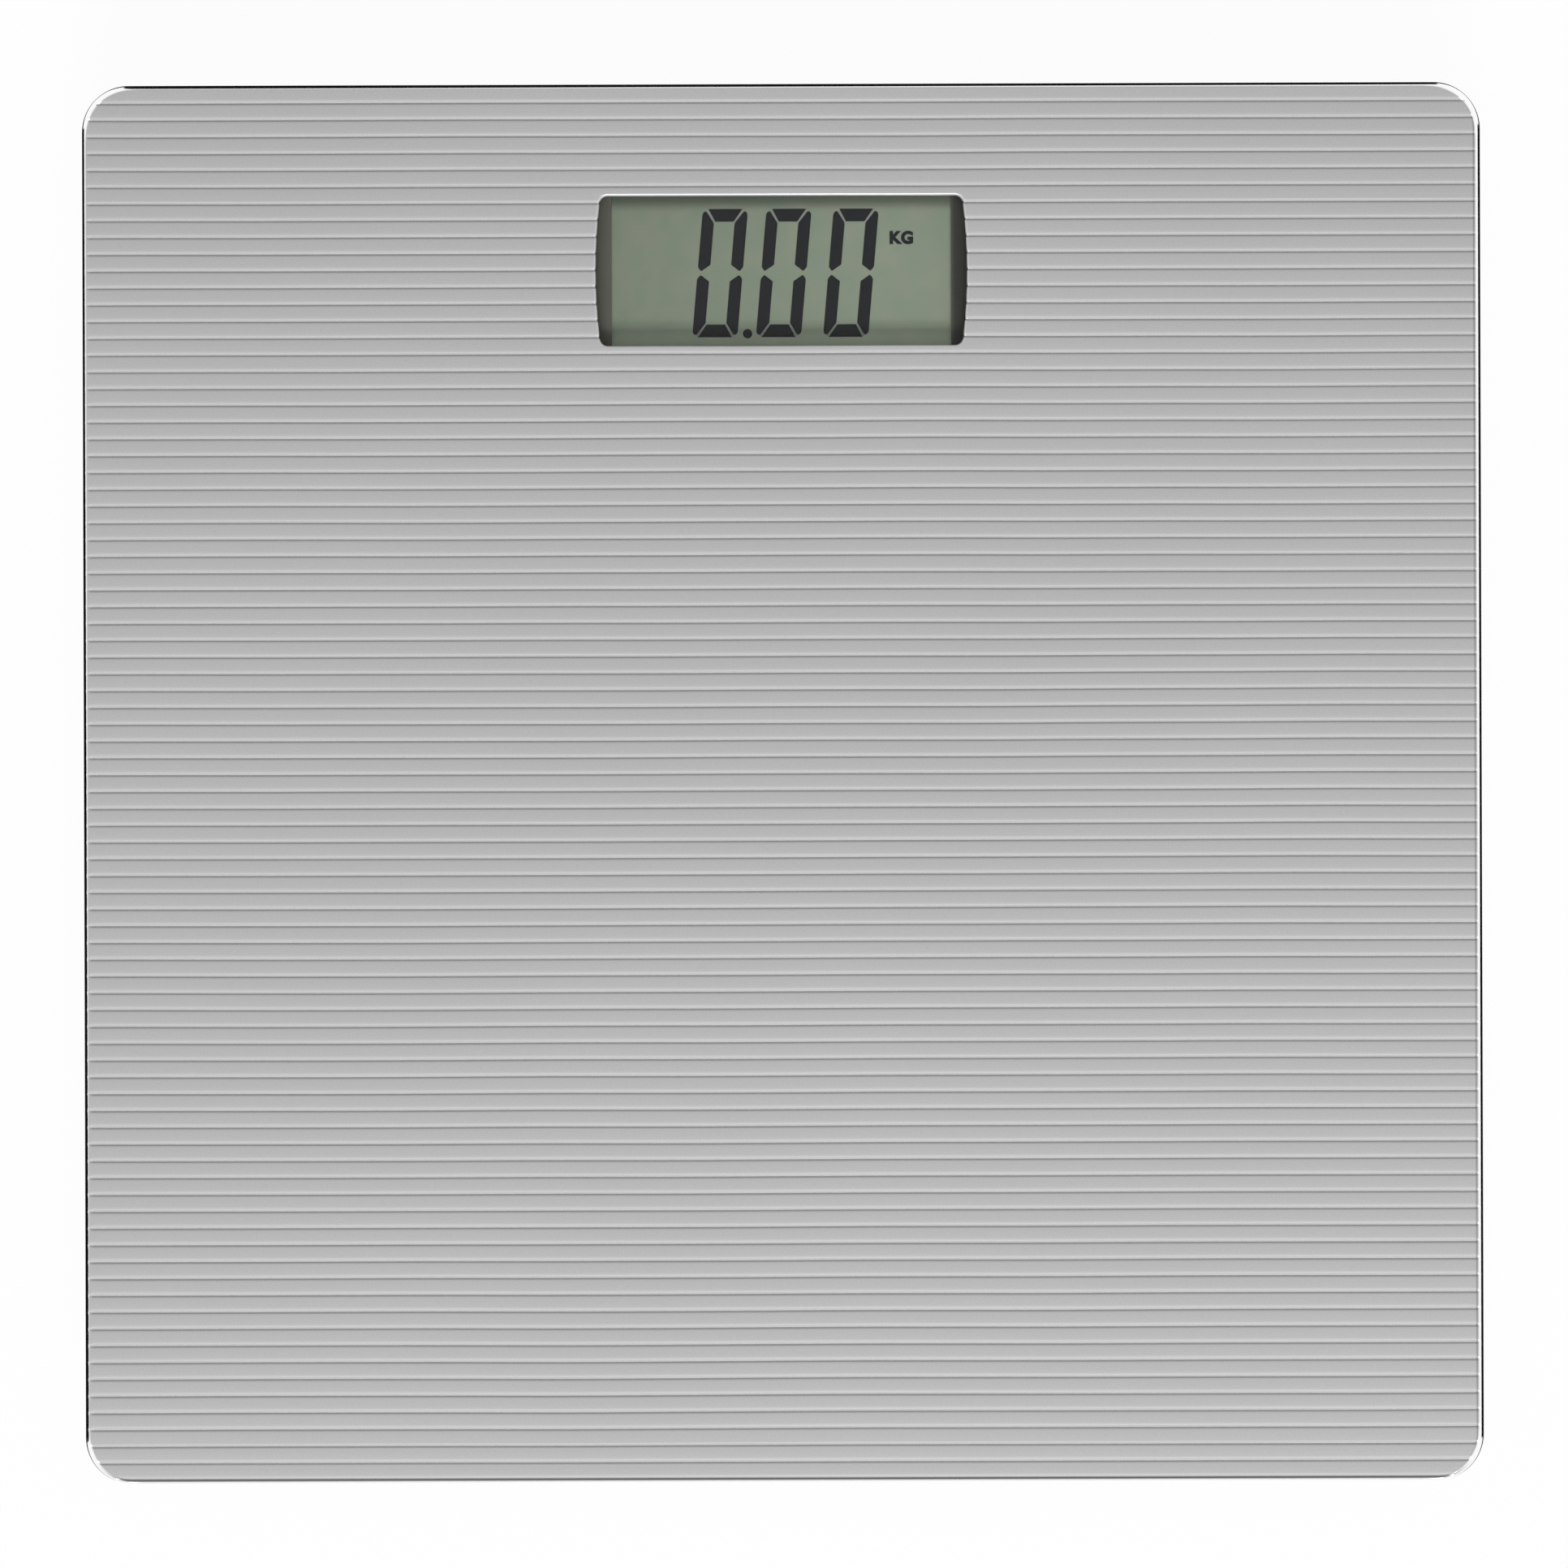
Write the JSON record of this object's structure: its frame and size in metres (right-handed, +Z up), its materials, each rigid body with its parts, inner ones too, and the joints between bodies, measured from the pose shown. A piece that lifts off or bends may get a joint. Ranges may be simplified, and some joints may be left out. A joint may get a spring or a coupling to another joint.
{
  "type": "digital bathroom scale",
  "caption": "Square flat bathroom scale with a ribbed platform, a recessed digital display, load cell feet, a base tray, a coin battery cap and a unit button underneath.",
  "frame": {"origin": "on the floor under the middle of the square platform", "axes": "+Z up out of the ribbed platform, +Y from the user's heels towards the display, +X to the user's right"},
  "size_m": [0.3, 0.3, 0.026],
  "materials": {
    "cover_paint": "satin silver-grey paint",
    "frame_plastic": "moulded matte",
    "tray_plastic": "moulded fine grain",
    "lens_clear": "clear gloss",
    "adhesive": "matte",
    "lcd_glass": "satin grey-green",
    "bezel_plastic": "moulded matte",
    "zebra_rubber": "matte",
    "board_laminate": "solder resist",
    "screw_steel": "bright zinc",
    "chip_resin": "cured resin",
    "component_body": "ceramic body",
    "header_plastic": "moulded natural",
    "switch_body": "moulded",
    "switch_plunger": "moulded",
    "button_plastic": "moulded satin",
    "contact_nickel": "bright nickel",
    "battery_steel": "brushed",
    "foot_plastic": "moulded matte",
    "pad_rubber": "matte",
    "cell_steel": "stamped",
    "gauge_coating": "silicone coating",
    "retainer_plastic": "moulded",
    "wire_insulation": "soft insulation"
  },
  "bodies": {
    "scale_body": {"platform_cover": "cover_paint", "platform_frame": "frame_plastic", "base_tray": "tray_plastic", "display_lens": "lens_clear", "lens_tape": "adhesive", "lcd_panel": "lcd_glass", "lcd_frame": "bezel_plastic", "zebra_strip_front": "zebra_rubber", "zebra_strip_rear": "zebra_rubber", "main_board": "board_laminate", "board_screws": "screw_steel", "chip_coating": "chip_resin", "board_components": "component_body", "cell_headers": "header_plastic", "tact_switch": "switch_body", "battery_holder": "bezel_plastic", "battery_contact_positive": "contact_nickel", "battery_contact_negative": "contact_nickel", "coin_battery": "battery_steel", "tray_screws": "screw_steel", "retainer_screws": "screw_steel", "load_cell_front_left": "cell_steel", "strain_gauge_front_left": "gauge_coating", "cell_retainer_front_left": "retainer_plastic", "cell_wires_front_left": "wire_insulation", "load_cell_front_right": "cell_steel", "strain_gauge_front_right": "gauge_coating", "cell_retainer_front_right": "retainer_plastic", "cell_wires_front_right": "wire_insulation", "load_cell_rear_left": "cell_steel", "strain_gauge_rear_left": "gauge_coating", "cell_retainer_rear_left": "retainer_plastic", "cell_wires_rear_left": "wire_insulation", "load_cell_rear_right": "cell_steel", "strain_gauge_rear_right": "gauge_coating", "cell_retainer_rear_right": "retainer_plastic", "cell_wires_rear_right": "wire_insulation"},
    "foot_front_left": {"foot_front_left": "foot_plastic", "foot_pad_front_left": "pad_rubber"},
    "foot_front_right": {"foot_front_right": "foot_plastic", "foot_pad_front_right": "pad_rubber"},
    "foot_rear_left": {"foot_rear_left": "foot_plastic", "foot_pad_rear_left": "pad_rubber"},
    "foot_rear_right": {"foot_rear_right": "foot_plastic", "foot_pad_rear_right": "pad_rubber"},
    "button": {"unit_button": "button_plastic", "tact_plunger": "switch_plunger"},
    "cap": {"battery_cap": "tray_plastic"}
  },
  "joints": [
    {"name": "foot_front_left_press", "type": "slide", "parent": "scale_body", "child": "foot_front_left", "axis": [0, 0, 1], "range_m": [0, 0.0005], "stiffness_N_per_m": 200000, "deforming": ["load_cell_front_left"]},
    {"name": "foot_front_right_press", "type": "slide", "parent": "scale_body", "child": "foot_front_right", "axis": [0, 0, 1], "range_m": [0, 0.0005], "stiffness_N_per_m": 200000, "deforming": ["load_cell_front_right"]},
    {"name": "foot_rear_left_press", "type": "slide", "parent": "scale_body", "child": "foot_rear_left", "axis": [0, 0, 1], "range_m": [0, 0.0005], "stiffness_N_per_m": 200000, "deforming": ["load_cell_rear_left"]},
    {"name": "foot_rear_right_press", "type": "slide", "parent": "scale_body", "child": "foot_rear_right", "axis": [0, 0, 1], "range_m": [0, 0.0005], "stiffness_N_per_m": 200000, "deforming": ["load_cell_rear_right"]},
    {"name": "unit_button_press", "type": "slide", "parent": "scale_body", "child": "button", "axis": [0, 0, 1], "range_m": [0, 0.0003], "stiffness_N_per_m": 2000},
    {"name": "battery_cap_turn", "type": "hinge", "parent": "scale_body", "child": "cap", "pos_m": [-0.028, 0.1099, 0.006], "axis": [0, 0, -1], "range_deg": [0, 60]}
  ]
}
